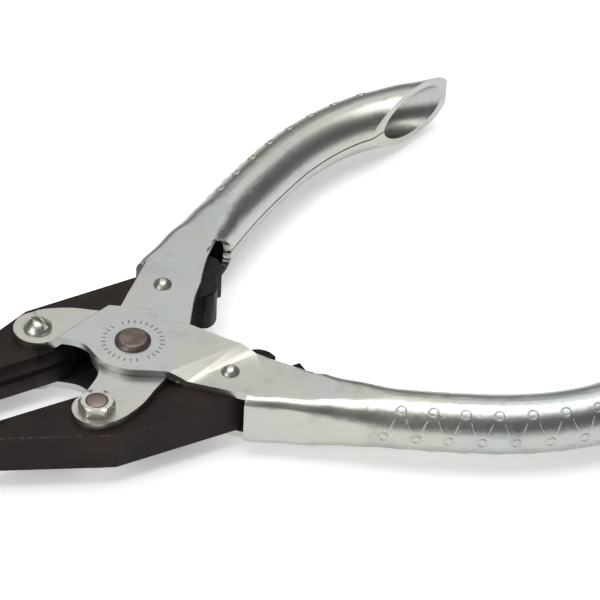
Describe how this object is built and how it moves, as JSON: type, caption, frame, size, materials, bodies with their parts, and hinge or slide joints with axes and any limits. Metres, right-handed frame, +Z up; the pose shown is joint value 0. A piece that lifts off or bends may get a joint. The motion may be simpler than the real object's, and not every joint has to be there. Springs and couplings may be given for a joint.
{
  "type": "flat nose pliers",
  "caption": "Parallel-action flat nose pliers with pressed sheet-metal handles, serrated slab jaws and an open throat.",
  "frame": {"origin": "centre of the small flat on the lower centre rivet's head", "axes": "+X back along the tool from the jaws to the handles, +Y across towards the left handle, +Z up through the centre rivets"},
  "size_m": [0.1467, 0.1204, 0.0175],
  "materials": {
    "plated_sheet": "bright zinc or nickel plate, scuffed",
    "black_steel": "black oxide, satin",
    "rivet_steel": "dull coppery patina",
    "bright_steel": "plated, semi-bright"
  },
  "bodies": {
    "handle_right_body": {"handle_right": "plated_sheet", "slide_pin_right": "bright_steel", "pivot_screw_left": "bright_steel", "nut_left": "bright_steel", "rivet_top": "rivet_steel", "rivet_bottom": "rivet_steel"},
    "handle_left_body": {"handle_left": "plated_sheet", "slide_pin_left": "bright_steel", "pivot_screw_right": "bright_steel", "nut_right": "bright_steel"},
    "jaw_left_body": {"jaw_left": "black_steel"},
    "jaw_right_body": {"jaw_right": "black_steel"}
  },
  "joints": [
    {"name": "handles_hinge", "type": "hinge", "parent": "handle_right_body", "child": "handle_left_body", "pos_m": [0, 0, 0.00875], "axis": [0, 0, 1], "range_deg": [-47, 3]},
    {"name": "jaw_left_hinge", "type": "hinge", "parent": "handle_right_body", "child": "jaw_left_body", "pos_m": [-0.01495, 0.01403, 0.00875], "axis": [0, 0, 1], "range_deg": [-23.5, 1.5]},
    {"name": "jaw_right_hinge", "type": "hinge", "parent": "handle_left_body", "child": "jaw_right_body", "pos_m": [-0.01495, -0.01403, 0.00875], "axis": [0, 0, 1], "range_deg": [-1.5, 23.5]}
  ],
  "couplings": [
    {"joint": "jaw_left_hinge", "follows": "handles_hinge", "ratio": 0.5},
    {"joint": "jaw_right_hinge", "follows": "handles_hinge", "ratio": -0.5}
  ]
}
